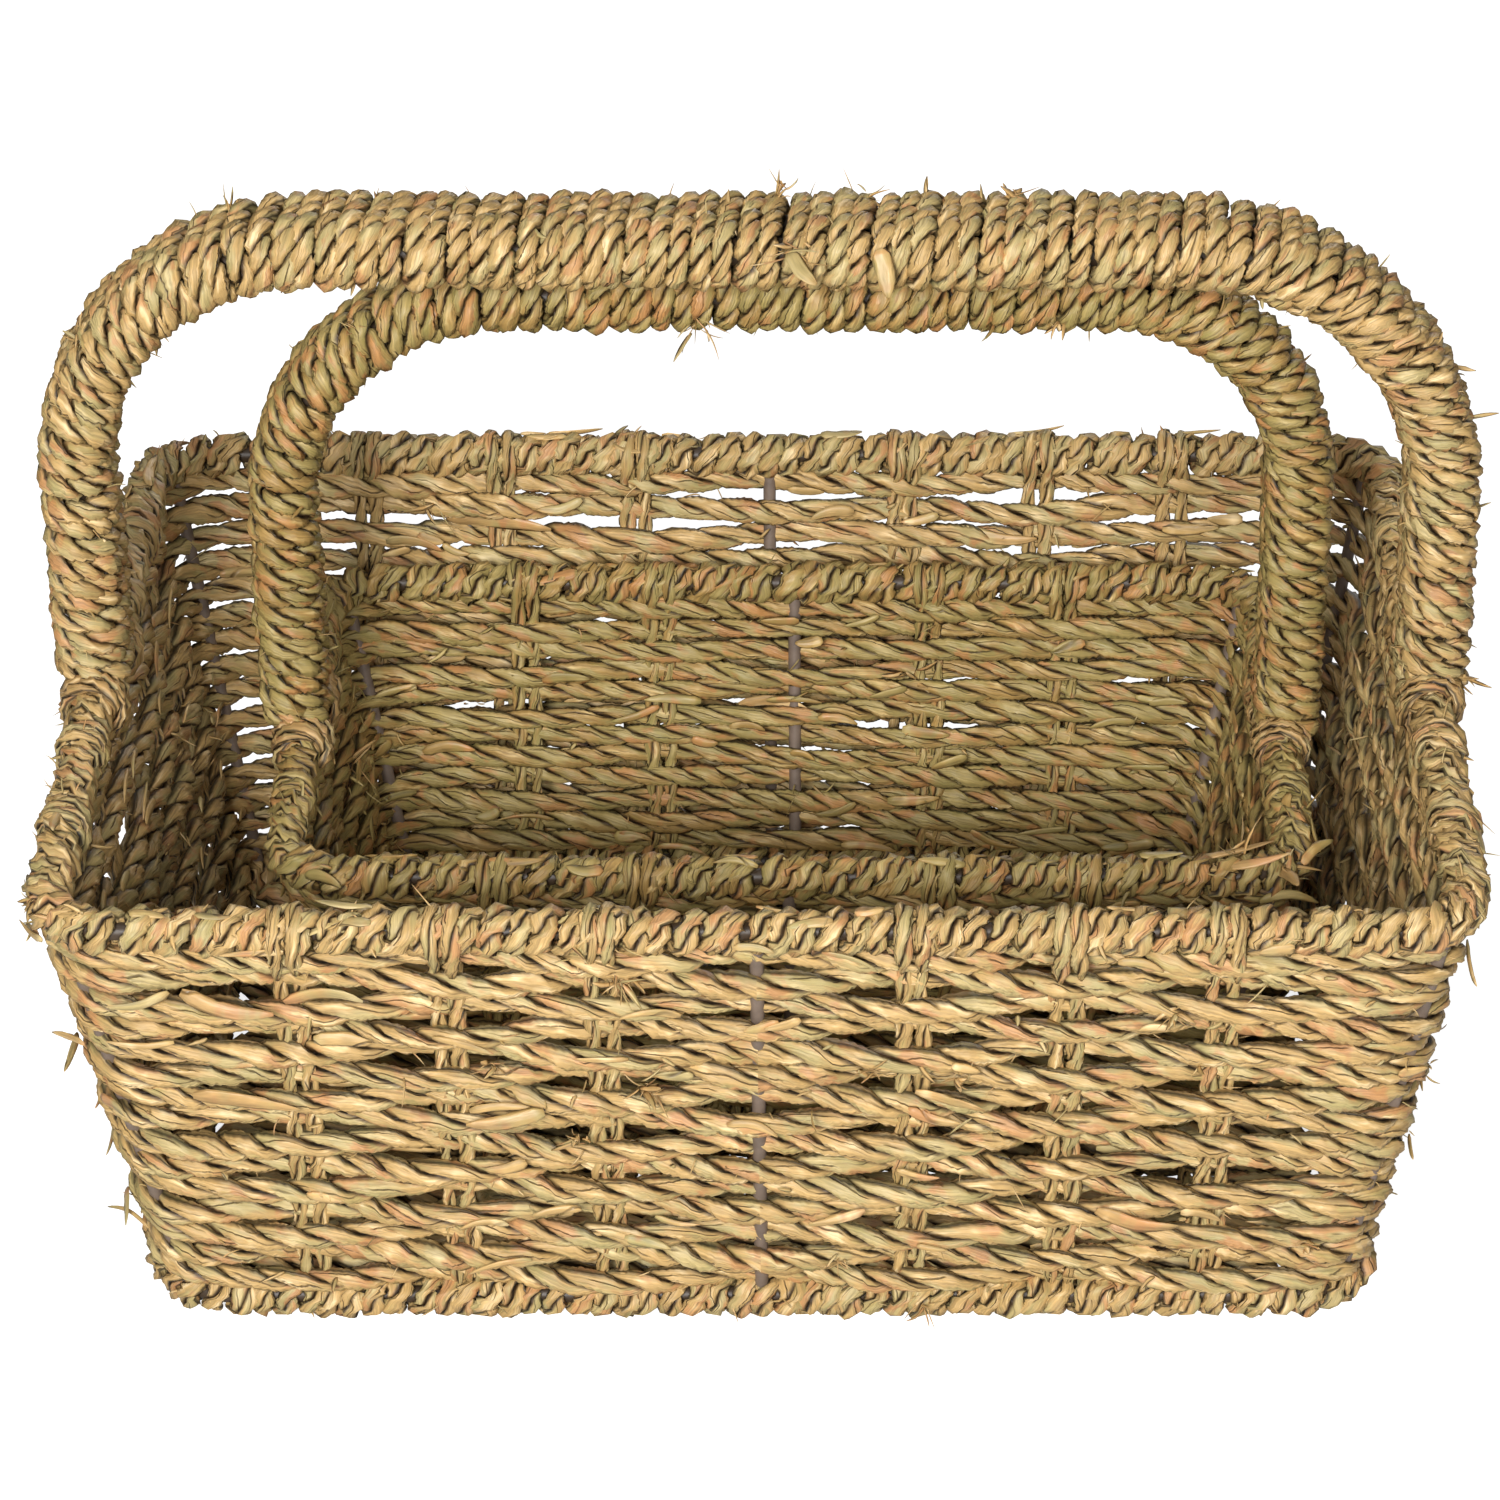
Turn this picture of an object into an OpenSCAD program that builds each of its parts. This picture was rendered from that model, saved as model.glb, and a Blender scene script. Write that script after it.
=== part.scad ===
// Nesting pair of woven seagrass storage baskets.
//
// Each basket is a welded wire frame (top wire, base wire, uprights, floor wires and a hoop
// handle of two rods) that is woven with horizontal twisted cords round pairs of upright
// cords, and then wrapped along its rim, its base and its handle. The small basket stands
// on the floor of the large one and lifts out of it along the large basket's rear wall.
//
// Millimetres, +Z up. The origin is under the middle of the large basket, on the surface
// that it stands on. +X is to the right, -Y is the front.

/* [Large basket] */
// Rim length, wrapped edge to wrapped edge
outer_rim_length = 406; // [396:1:420]
// Rim depth, wrapped edge to wrapped edge
outer_rim_depth = 293; // [286:1:310]
// Height of the rim wire above the ground
outer_rim_height = 146; // [140:1:150]
// How far each wall leans out between the base wire and the rim wire
outer_lean = 22.5; // [20:0.5:25]
// Height of the middle of the handle bar above the ground
outer_handle_height = 288; // [284:1:310]
// Bend radius at the handle's left corner
outer_left_bend = 70; // [50:1:90]
// Bend radius at the handle's right corner
outer_right_bend = 78; // [50:1:85]
// Number of upright cord pairs on each side of the middle wire, long walls
outer_long_pairs = 3; // [1:1:3]
// Number of upright cord pairs on each side of the handle, short walls
outer_short_pairs = 2; // [1:1:2]

/* [Small basket] */
// Rim length, wrapped edge to wrapped edge
inner_rim_length = 308; // [290:1:310]
// Rim depth, wrapped edge to wrapped edge
inner_rim_depth = 187; // [175:1:187]
// Height of the rim wire above the small basket's own foot
inner_rim_height = 99.2; // [90:0.1:105]
// How far each wall leans out between the base wire and the rim wire
inner_lean = 17.5; // [14:0.5:20]
// Height of the middle of the handle bar above the small basket's own foot
inner_handle_height = 245.5; // [235:0.1:250]
// Bend radius at the handle's left corner
inner_left_bend = 68; // [50:1:80]
// Bend radius at the handle's right corner
inner_right_bend = 70; // [50:1:80]
// Number of upright cord pairs on each side of the middle wire, long walls
inner_long_pairs = 2; // [1:1:2]
// Number of upright cord pairs on each side of the handle, short walls
inner_short_pairs = 1; // [0:1:1]
// How far the small basket stands to the right of the middle
inner_shift_x = 8; // [0:1:10]
// How far the small basket stands behind the middle
inner_shift_y = 30; // [29:1:31]

/* [Wire] */
// Thickness of the top wire and the base wire
ring_wire = 5; // [4:0.5:5]
// Thickness of the uprights and the floor wires
upright_wire = 4; // [3:0.5:4]

/* [Cord] */
// Thickness of one upright seagrass cord
warp_cord = 3; // [2.5:0.1:3]
// Distance between the two cords of a pair
warp_pair_gap = 7; // [5:0.5:8]
// Distance from one upright pair to the next
warp_pitch = 43; // [40:1:45]
// Play between a wire and the cord wrapped round it
wire_play = 0.05; // [0.02:0.01:0.1]

/* [Hidden] */
$fn = 64;

frame_color = [0.47, 0.40, 0.34];
straw_color = [0.66, 0.56, 0.33];
green_color = [0.55, 0.53, 0.31];
lashing_color = [0.58, 0.42, 0.26];

hull_facets = 32;
skin = 0.01;            // thickness of the plates that a wall is hulled between
join_gap = 0.1;         // space between the woven wall and the wrapped rings
foot_gap = 0.3;         // space between the large basket's floor and the small basket
base_set_down = 0.5;    // how far a base wrap is pressed flat by what it stands on
floor_low = 2;          // height of the underside of a woven floor
floor_over_roll = 6;    // how far a floor's top is above the thickness of its base wrap
cross_wires_at = 1 / 3; // where the two cross wires of a floor lie, from the middle to an end
foot_room = 3;          // length of the room for a rod's foot, in rim wrap radii
cut_over = 1;           // how far a cutting shape runs past what it cuts

// Radii of the wrapped rim and the wrapped base, outside
outer_rim_roll = 6.5;
outer_base_roll = 6;
inner_rim_roll = 5.8;
inner_base_roll = 5.5;

// Bend radius of the ring wires at the corners
outer_corner = 20;
inner_corner = 18;

// Thickness of the woven walls
outer_wall = 12;
inner_wall = 11;

// How far the handle's legs stand outside the rim wire
outer_span_out = 1;
inner_span_out = 2.5;

// Handle rods: their thickness, and how far each is from the middle of the bar
outer_rod = 8;
outer_rod_offset = 7.5;
inner_rod = 7;
inner_rod_offset = 4.5;

// Radius of the cord wrapped round a handle's rods
outer_grip = 10.8;
inner_grip = 10.2;

// Length of rim that is tied at each foot of a handle
outer_lashing = 46;
inner_lashing = 40;

// One record per basket, read by the field numbers below. The half sizes are those of the
// wires' middle lines, and heights are measured from the basket's own foot.
RIM_X = 0;
RIM_Y = 1;
RIM_Z = 2;
RIM_ROLL = 3;
BASE_X = 4;
BASE_Y = 5;
BASE_Z = 6;
BASE_ROLL = 7;
CORNER = 8;
WALL = 9;
FLOOR_LOW = 10;
FLOOR_HIGH = 11;
BAR_Z = 12;
SPAN = 13;
ROD = 14;
ROD_OFFSET = 15;
GRIP = 16;
LEFT_BEND = 17;
RIGHT_BEND = 18;
LONG_PAIRS = 19;
SHORT_PAIRS = 20;
LASHING = 21;

function basket(length, depth, height, lean, roll, base_roll, corner, wall, bar, span_out,
                rod, rod_offset, grip, left_bend, right_bend, long_pairs, short_pairs, lashing) =
    let (rim_x = length / 2 - roll, rim_y = depth / 2 - roll)
    [rim_x, rim_y, height, roll, rim_x - lean, rim_y - lean, base_roll - base_set_down, base_roll,
     corner, wall, floor_low, base_roll + floor_over_roll, bar, rim_x + span_out, rod, rod_offset,
     grip, left_bend, right_bend, long_pairs, short_pairs, lashing];

OUTER = basket(outer_rim_length, outer_rim_depth, outer_rim_height, outer_lean, outer_rim_roll,
               outer_base_roll, outer_corner, outer_wall, outer_handle_height, outer_span_out,
               outer_rod, outer_rod_offset, outer_grip, outer_left_bend, outer_right_bend,
               outer_long_pairs, outer_short_pairs, outer_lashing);
INNER = basket(inner_rim_length, inner_rim_depth, inner_rim_height, inner_lean, inner_rim_roll,
               inner_base_roll, inner_corner, inner_wall, inner_handle_height, inner_span_out,
               inner_rod, inner_rod_offset, inner_grip, inner_left_bend, inner_right_bend,
               inner_long_pairs, inner_short_pairs, inner_lashing);

inner_foot = OUTER[FLOOR_HIGH] + foot_gap;

// ---- Places on a basket ----

// How far the wall's middle line leans out past the base wire at height z.
function wall_reach(b, z) = (z - b[BASE_Z]) / (b[RIM_Z] - b[BASE_Z]) * (b[RIM_X] - b[BASE_X]);

// Directions from the middle of the basket to its four corners.
CORNERS = [[1, 1], [-1, 1], [-1, -1], [1, -1]];

// How far inside the wire's square corner its bend passes.
function corner_cut(b) = b[CORNER] * (1 - cos(45));

// The foot of each upright wire, on the base wire's middle line, and the way it leans.
function upright_feet(b) = concat(
    [for (side = [-1, 1]) [[0, side * b[BASE_Y]], [0, side]]],
    [for (c = CORNERS) [[c[0] * (b[BASE_X] - corner_cut(b)), c[1] * (b[BASE_Y] - corner_cut(b))], c]]);

// The foot of each upright cord, on the base wire's middle line, and the way it leans.
function warp_feet(b) = concat(
    [for (side = [-1, 1], turn = [-1, 1], n = [1 : b[LONG_PAIRS]], cord = [-1, 1])
        [[turn * n * warp_pitch + cord * warp_pair_gap / 2, side * b[BASE_Y]], [0, side]]],
    [for (side = [-1, 1], turn = [-1, 1], n = [1 : 1 : b[SHORT_PAIRS]], cord = [-1, 1])
        [[side * b[BASE_X], turn * n * warp_pitch + cord * warp_pair_gap / 2], [side, 0]]]);

// A round bar that leans out with the wall, trimmed back from the base wire and the rim wire.
module leaning_bar(b, foot, way, radius, low_trim, high_trim) {
    rise = b[RIM_Z] - b[BASE_Z];
    out = way * (b[RIM_X] - b[BASE_X]);
    length = norm([out[0], out[1], rise]);
    lean = acos(rise / length);
    turn = atan2(out[1], out[0]);
    translate([foot[0], foot[1], b[BASE_Z]])
        rotate([0, lean, turn])
            translate([0, 0, low_trim])
                cylinder(h = length - low_trim - high_trim, r = radius);
}

// ---- Shapes that repeat ----

// A section swept round a rounded rectangle, level at height 0.
module bent_ring(half_x, half_y, corner) {
    for (side = [-1, 1]) {
        translate([0, side * half_y, 0])
            rotate([90, 0, 90])
                linear_extrude(height = 2 * (half_x - corner), center = true) children();
        translate([side * half_x, 0, 0])
            rotate([90, 0, 0])
                linear_extrude(height = 2 * (half_y - corner), center = true) children();
    }
    for (i = [0 : 3])
        translate([CORNERS[i][0] * (half_x - corner), CORNERS[i][1] * (half_y - corner), 0])
            rotate([0, 0, 90 * i])
                rotate_extrude(angle = 90) translate([corner, 0]) children();
}

// A section swept along the handle: up the left leg, over the bar and down the right leg.
module hoop(b, foot_z) {
    mirror([1, 0, 0]) hoop_side(b, foot_z, b[LEFT_BEND]) children();
    hoop_side(b, foot_z, b[RIGHT_BEND]) children();
}

// The right half of a handle: half the bar, one bend and one leg.
module hoop_side(b, foot_z, bend) {
    translate([b[SPAN] - bend, 0, b[BAR_Z]])
        rotate([0, -90, 0]) linear_extrude(height = b[SPAN] - bend) children();
    translate([b[SPAN] - bend, 0, b[BAR_Z] - bend])
        rotate([90, 0, 0]) rotate_extrude(angle = 90) translate([bend, 0]) children();
    translate([b[SPAN], 0, foot_z])
        linear_extrude(height = b[BAR_Z] - bend - foot_z) children();
}

// Cross section of the wrapped handle, thin across the bar and wide along Y.
module grip_section(b) {
    square([2 * b[GRIP], 2 * b[ROD_OFFSET]], center = true);
    for (side = [-1, 1])
        translate([0, side * b[ROD_OFFSET]]) circle(r = b[GRIP]);
}

// A level plate with round corners, at the wall's middle line plus an offset.
module wall_plate(b, z, offset_out) {
    reach = wall_reach(b, z) + offset_out;
    translate([0, 0, z])
        rounded_plate(b[BASE_X] + reach, b[BASE_Y] + reach, b[CORNER] + offset_out, skin);
}

module rounded_plate(half_x, half_y, corner, thickness) {
    linear_extrude(height = thickness)
        hull()
            for (c = CORNERS)
                translate([c[0] * (half_x - corner), c[1] * (half_y - corner)])
                    circle(r = corner, $fn = hull_facets);
}

// The tapered solid inside the wall's middle line plus an offset, between two heights.
module tapered_block(b, low, high, offset_out) {
    hull() {
        wall_plate(b, low, offset_out);
        wall_plate(b, high - skin, offset_out);
    }
}

// ---- Sub-parts, each drawn with its own foot at height 0 ----

module rim_wire(b) {
    translate([0, 0, b[RIM_Z]]) bent_ring(b[RIM_X], b[RIM_Y], b[CORNER]) circle(d = ring_wire);
}

module base_wire(b) {
    translate([0, 0, b[BASE_Z]]) bent_ring(b[BASE_X], b[BASE_Y], b[CORNER]) circle(d = ring_wire);
}

// Uprights at the middle of the long walls and at the corners, butted on both ring wires.
module upright_wires(b, play = 0) {
    for (u = upright_feet(b))
        leaning_bar(b, u[0], u[1], upright_wire / 2 + play, ring_wire / 2, ring_wire / 2);
}

// One wire along the floor and two across it, welded where they cross.
module floor_wires(b, play = 0) {
    radius = upright_wire / 2 + play;
    long_half = b[BASE_X] - ring_wire / 2;
    short_half = b[BASE_Y] - ring_wire / 2;
    translate([-long_half, 0, b[BASE_Z]])
        rotate([0, 90, 0]) cylinder(h = 2 * long_half, r = radius);
    for (side = [-1, 1])
        translate([side * b[BASE_X] * cross_wires_at, short_half, b[BASE_Z]])
            rotate([90, 0, 0]) cylinder(h = 2 * short_half, r = radius);
}

// One rod of the handle, welded to the top of the rim wire at both feet.
module handle_rod(b, side) {
    translate([0, side * b[ROD_OFFSET], 0])
        hoop(b, b[RIM_Z] + ring_wire / 2) circle(d = b[ROD]);
}

// The room that the feet of both rods take in the rim wrap and the lashing.
module rod_feet_room(b) {
    foot_z = b[RIM_Z] + ring_wire / 2;
    for (side = [-1, 1], leg = [-1, 1])
        translate([leg * b[SPAN], side * b[ROD_OFFSET], foot_z])
            cylinder(h = foot_room * b[RIM_ROLL], r = b[ROD] / 2 + wire_play);
}

// Upright cords between the base wrap and the rim wrap.
module warp_cords(b) {
    for (w = warp_feet(b))
        leaning_bar(b, w[0], w[1], warp_cord / 2,
                    b[BASE_ROLL] + join_gap, b[RIM_ROLL] + join_gap);
}

// The woven rows as one leaning wall, pierced by the upright cords and wires.
module woven_wall(b) {
    low = b[BASE_Z] + b[BASE_ROLL] + join_gap;
    high = b[RIM_Z] - b[RIM_ROLL] - join_gap;
    difference() {
        tapered_block(b, low, high, b[WALL] / 2);
        tapered_block(b, low - cut_over, high + cut_over, -b[WALL] / 2);
        warp_tunnels(b);
        upright_wires(b, wire_play);
    }
}

// The upright cords' room in the wall, which runs past both of its edges.
module warp_tunnels(b) {
    for (w = warp_feet(b))
        leaning_bar(b, w[0], w[1], warp_cord / 2 + wire_play, 0, 0);
}

// The woven floor, which lies on its wires inside the base wrap.
module woven_floor(b) {
    inset = b[BASE_ROLL] + join_gap;
    difference() {
        translate([0, 0, b[FLOOR_LOW]])
            floor_slab(b[BASE_X] - inset, b[BASE_Y] - inset, b[CORNER] - inset,
                       b[FLOOR_HIGH] - b[FLOOR_LOW]);
        floor_wires(b, wire_play);
    }
}

module floor_slab(half_x, half_y, corner, thickness) {
    linear_extrude(height = thickness) {
        square([2 * half_x, 2 * (half_y - corner)], center = true);
        square([2 * (half_x - corner), 2 * half_y], center = true);
        for (c = CORNERS)
            translate([c[0] * (half_x - corner), c[1] * (half_y - corner)]) circle(r = corner);
    }
}

// Cord wrapped round the rim wire, open where uprights and handle rods come through.
module rim_wrap(b) {
    difference() {
        translate([0, 0, b[RIM_Z]])
            bent_ring(b[RIM_X], b[RIM_Y], b[CORNER])
                difference() {
                    circle(r = b[RIM_ROLL]);
                    circle(d = ring_wire + 2 * wire_play);
                }
        upright_wires(b, wire_play);
        rod_feet_room(b);
    }
}

// Cord wrapped round the base wire, pressed flat where it stands.
module base_wrap(b) {
    difference() {
        translate([0, 0, b[BASE_Z]])
            bent_ring(b[BASE_X], b[BASE_Y], b[CORNER])
                difference() {
                    circle(r = b[BASE_ROLL]);
                    circle(d = ring_wire + 2 * wire_play);
                    translate([-b[BASE_ROLL], -2 * b[BASE_ROLL] - b[BASE_Z]])
                        square(2 * b[BASE_ROLL]);
                }
        upright_wires(b, wire_play);
        floor_wires(b, wire_play);
    }
}

// Cord wrapped round both handle rods, from one lashing over the bar to the other.
module handle_wrap(b) {
    hoop(b, lashing_top(b))
        difference() {
            grip_section(b);
            for (side = [-1, 1])
                translate([0, side * b[ROD_OFFSET]]) circle(d = b[ROD] + 2 * wire_play);
        }
}

lashing_cord = 3.5;     // thickness of the cord that ties a handle foot to the rim

function lashing_top(b) = b[RIM_Z] + b[RIM_ROLL] + lashing_cord + join_gap;

// Cord tied over the rim round one foot of the handle, open below where the wall starts.
module lashing(b, side) {
    inside = b[RIM_ROLL] + wire_play;
    outside = b[RIM_ROLL] + lashing_cord;
    difference() {
        translate([side * b[RIM_X], 0, b[RIM_Z]])
            rotate([90, 0, 0])
                linear_extrude(height = b[LASHING], center = true)
                    difference() {
                        circle(r = outside);
                        circle(r = inside);
                        translate([-outside, -outside - b[RIM_ROLL]])
                            square([2 * outside, outside]);
                    }
        rod_feet_room(b);
    }
}

module place_inner() {
    translate([inner_shift_x, inner_shift_y, inner_foot]) children();
}

// ---- Large basket ----

module outer_rim_wire() { color(frame_color) rim_wire(OUTER); }
module outer_base_wire() { color(frame_color) base_wire(OUTER); }
module outer_upright_wires() { color(frame_color) upright_wires(OUTER); }
module outer_floor_wires() { color(frame_color) floor_wires(OUTER); }
module outer_handle_front_rod() { color(frame_color) handle_rod(OUTER, -1); }
module outer_handle_rear_rod() { color(frame_color) handle_rod(OUTER, 1); }
module outer_warp_cords() { color(straw_color) warp_cords(OUTER); }
module outer_woven_wall() { color(straw_color) woven_wall(OUTER); }
module outer_woven_floor() { color(straw_color) woven_floor(OUTER); }
module outer_rim_wrap() { color(straw_color) rim_wrap(OUTER); }
module outer_base_wrap() { color(straw_color) base_wrap(OUTER); }
module outer_handle_wrap() { color(straw_color) handle_wrap(OUTER); }
module outer_lashing_left() { color(lashing_color) lashing(OUTER, -1); }
module outer_lashing_right() { color(lashing_color) lashing(OUTER, 1); }

// ---- Small basket ----

module inner_rim_wire() { color(frame_color) place_inner() rim_wire(INNER); }
module inner_base_wire() { color(frame_color) place_inner() base_wire(INNER); }
module inner_upright_wires() { color(frame_color) place_inner() upright_wires(INNER); }
module inner_floor_wires() { color(frame_color) place_inner() floor_wires(INNER); }
module inner_handle_front_rod() { color(frame_color) place_inner() handle_rod(INNER, -1); }
module inner_handle_rear_rod() { color(frame_color) place_inner() handle_rod(INNER, 1); }
module inner_warp_cords() { color(green_color) place_inner() warp_cords(INNER); }
module inner_woven_wall() { color(green_color) place_inner() woven_wall(INNER); }
module inner_woven_floor() { color(green_color) place_inner() woven_floor(INNER); }
module inner_rim_wrap() { color(green_color) place_inner() rim_wrap(INNER); }
module inner_base_wrap() { color(green_color) place_inner() base_wrap(INNER); }
module inner_handle_wrap() { color(green_color) place_inner() handle_wrap(INNER); }
module inner_lashing_left() { color(lashing_color) place_inner() lashing(INNER, -1); }
module inner_lashing_right() { color(lashing_color) place_inner() lashing(INNER, 1); }

outer_rim_wire();
outer_base_wire();
outer_upright_wires();
outer_floor_wires();
outer_handle_front_rod();
outer_handle_rear_rod();
outer_warp_cords();
outer_woven_wall();
outer_woven_floor();
outer_rim_wrap();
outer_base_wrap();
outer_handle_wrap();
outer_lashing_left();
outer_lashing_right();
inner_rim_wire();
inner_base_wire();
inner_upright_wires();
inner_floor_wires();
inner_handle_front_rod();
inner_handle_rear_rod();
inner_warp_cords();
inner_woven_wall();
inner_woven_floor();
inner_rim_wrap();
inner_base_wrap();
inner_handle_wrap();
inner_lashing_left();
inner_lashing_right();
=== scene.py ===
"""Cords, wraps, loose fibres and finishes for a nesting pair of woven seagrass baskets."""

import math

import bpy
import numpy as np
from bpy.props import FloatProperty, FloatVectorProperty, IntProperty, PointerProperty
from bpy.types import Operator, Panel, PropertyGroup
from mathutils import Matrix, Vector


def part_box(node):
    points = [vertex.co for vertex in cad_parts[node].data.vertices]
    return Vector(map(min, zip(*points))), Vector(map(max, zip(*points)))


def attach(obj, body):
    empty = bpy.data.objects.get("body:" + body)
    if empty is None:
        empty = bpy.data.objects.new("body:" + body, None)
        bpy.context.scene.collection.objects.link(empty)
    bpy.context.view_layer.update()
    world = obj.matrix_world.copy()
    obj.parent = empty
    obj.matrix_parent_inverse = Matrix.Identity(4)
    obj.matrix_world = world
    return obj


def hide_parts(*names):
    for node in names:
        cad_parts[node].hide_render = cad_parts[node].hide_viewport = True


bl_info = {
    "name": "Seagrass Basket Weaver",
    "version": (1, 0, 0),
    "blender": (4, 5, 0),
    "location": "3D View > Sidebar > Basket",
    "description": "Weaves and wraps a nesting pair of seagrass baskets round their wire frames",
    "category": "Object",
}

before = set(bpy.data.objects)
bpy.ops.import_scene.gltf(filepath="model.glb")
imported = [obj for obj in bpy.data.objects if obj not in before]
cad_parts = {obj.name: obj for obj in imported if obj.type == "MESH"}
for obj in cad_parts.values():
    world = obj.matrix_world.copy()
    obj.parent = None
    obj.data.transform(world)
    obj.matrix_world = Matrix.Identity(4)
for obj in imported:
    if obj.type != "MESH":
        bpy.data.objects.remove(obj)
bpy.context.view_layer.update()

UP = np.array([0.0, 0.0, 1.0])
BASKETS = ("outer", "inner")
SLOT = {"outer": "straw_seagrass", "inner": "green_seagrass"}
GRASS = {"straw_seagrass": "straw grass", "green_seagrass": "green grass",
         "brown_lashing": "brown grass"}
BARE_WIRES = ("upright_wires", "floor_wires")
WIRES = BARE_WIRES + ("rim_wire", "base_wire", "handle_front_rod", "handle_rear_rod")

# The frame's corners, the handle wraps' bends and the uprights' spacing, in metres. The small
# handle's right wrap bends 12 mm tighter than its rods, which stay inside the wrap.
CORNER = {"outer": 0.020, "inner": 0.018}
BENDS = {"outer": (0.070, 0.078), "inner": (0.068, 0.058)}    # left and right
PAIRS = {"outer": (3, 2), "inner": (2, 1)}    # pairs of uprights each side of a wall's middle
PAIR_PITCH = 0.043
PAIR_GAP = 0.0027    # from a pair's middle to each of its cords

# The weave
ROW_PIECES = {"outer": 3, "inner": 2}    # objects that the rows of a wall are shared between
ROW_STEP = 0.0024    # between the points of a row
SWING = {"outer": 0.0026, "inner": 0.0022}    # how far a row bends round an upright
SMALL_TWIST = 0.95    # the small basket's twist length, as a share of the large one's
STRAY = 0.0016    # how far a row wanders up and down
EDGE_STRAY = 0.0006    # the same for the top and bottom rows

# The wraps
RING_POINTS = 15    # points in each turn round a rim or base
GRIP_POINTS = 34    # points in each turn round a handle
RING_TWIST = 0.016
GRIP_TWIST = 0.0155
TIE_TURNS = 4
TIE_POINTS = 16
TIE_RADIUS = 0.0027
TIE_TWIST = 0.02
UPRIGHT_TWIST = 0.028
FLOOR_STEP = 0.0035    # between the points of the floor's cords


# ---- What a user can change ----

def metres(name, about, default, low, high):
    return FloatProperty(name=name, description=about, default=default, min=low, max=high,
                         unit="LENGTH")


def whole(name, about, default, low, high):
    return IntProperty(name=name, description=about, default=default, min=low, max=high)


def tone(name, about, default):
    return FloatVectorProperty(name=name, description=about, subtype="COLOR", default=default,
                               min=0, max=1)


class BasketSizes(PropertyGroup):
    """Thicknesses, spacings and looseness of the cords."""
    row_cord: metres("Row cord", "Thickness of the large basket's woven rows",
                     0.0082, 0.004, 0.010)
    small_row_cord: metres("Small row cord", "Thickness of the small basket's woven rows",
                           0.0073, 0.004, 0.010)
    rows: whole("Rows", "Woven rows in the large basket's walls", 15, 8, 20)
    small_rows: whole("Small rows", "Woven rows in the small basket's walls", 12, 8, 16)
    twist: metres("Twist length", "Length of row cord in which its plies turn once",
                  0.027, 0.010, 0.05)
    rim_pitch: metres("Rim wrap pitch", "Distance from one wrap to the next along rim and base",
                      0.0066, 0.004, 0.012)
    grip_pitch: metres("Handle wrap pitch", "Distance from one wrap to the next on a handle",
                       0.0062, 0.004, 0.012)
    upright_cord: metres("Upright cord", "Thickness of one of a pair of upright cords",
                         0.0052, 0.002, 0.006)
    fibres: whole("Loose fibres", "Frayed fibre ends on the large basket", 1300, 0, 2500)
    torn_blades: whole("Torn blades", "Wide torn blades that lie on the large basket's cords",
                       330, 0, 600)


class BasketColours(PropertyGroup):
    """Colours of the dried grass and of the painted frame."""
    straw: tone("Straw", "Main colour of the large basket", (0.55, 0.355, 0.135))
    pale: tone("Pale straw", "Lightest blades", (0.82, 0.61, 0.32))
    olive: tone("Olive", "Green blades", (0.28, 0.26, 0.09))
    rust: tone("Rust", "Reddish brown stains", (0.42, 0.16, 0.045))
    # This dark brown is dirt in the hairline lines between blades, and painted shade where each
    # ply dips towards the other.
    crease_dirt_and_shade: tone("Crease", "Dirt between the blades, and painted shade between the plies", (0.045, 0.022, 0.006))
    frame_paint: tone("Frame paint", "Taupe paint on the wires", (0.17, 0.125, 0.095))


# ---- The wire frames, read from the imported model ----

class Basket:
    """Where one basket's wires, walls and handle are, in metres."""

    def __init__(self, name):
        self.name = name
        rim_low, rim_high = self.box("rim_wire")
        base_low, base_high = self.box("base_wire")
        wrap_low, wrap_high = self.box("rim_wrap")
        wall_low, wall_high = self.box("woven_wall")
        rod_low, rod_high = self.box("handle_front_rod")
        rear_high = self.box("handle_rear_rod")[1]
        grip_low, grip_high = self.box("handle_wrap")
        self.wire = (rim_high[2] - rim_low[2]) / 2
        self.centre = (rim_low + rim_high) / 2
        self.rim_half = (rim_high - rim_low)[:2] / 2 - self.wire
        self.base_half = (base_high - base_low)[:2] / 2 - self.wire
        self.rim_z = self.centre[2]
        self.base_z = (base_low[2] + base_high[2]) / 2
        self.rim_roll = (wrap_high[2] - wrap_low[2]) / 2
        self.base_roll = self.box("base_wrap")[1][2] - self.base_z
        self.wall_low, self.wall_high = wall_low[2], wall_high[2]
        self.corner = CORNER[name]
        self.floor_low, self.floor_high = (corner[2] for corner in self.box("woven_floor"))
        self.rod = (rod_high[1] - rod_low[1]) / 2
        self.rod_offset = (rear_high[1] - rod_low[1]) / 2 - self.rod
        self.grip = (grip_high[1] - grip_low[1]) / 2 - self.rod_offset
        self.span = (rod_high[0] - rod_low[0]) / 2 - self.rod
        self.bar_z = rod_high[2] - self.rod
        self.grip_foot = self.rim_z + 0.5 * self.rim_roll
        self.bends = BENDS[name]
        self.pairs = PAIRS[name]
        self.lashing = self.box("lashing_left")[1][1] - self.box("lashing_left")[0][1]

    def box(self, part):
        low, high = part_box(self.name + "_" + part)
        return np.array(low), np.array(high)

    def half_at(self, z):
        """Half length and half depth of the wall's middle line at height z."""
        t = (z - self.base_z) / (self.rim_z - self.base_z)
        return self.base_half + (self.rim_half - self.base_half) * t

    def lean(self):
        return (self.rim_half[0] - self.base_half[0]) / (self.rim_z - self.base_z)

    def stakes(self):
        """Each upright's place round the wall: a wall (0 front, 1 right, 2 rear, 3 left) and
        a distance from its middle, or a wall's end corner, in order round the basket."""
        order = []
        for wall in range(4):
            count = self.pairs[wall % 2]
            places = [n * PAIR_PITCH for n in range(-count, count + 1)]
            if wall % 2:
                places.remove(0)
            order += [(wall, place) for place in places] + [(wall, None)]
        return order


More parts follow.
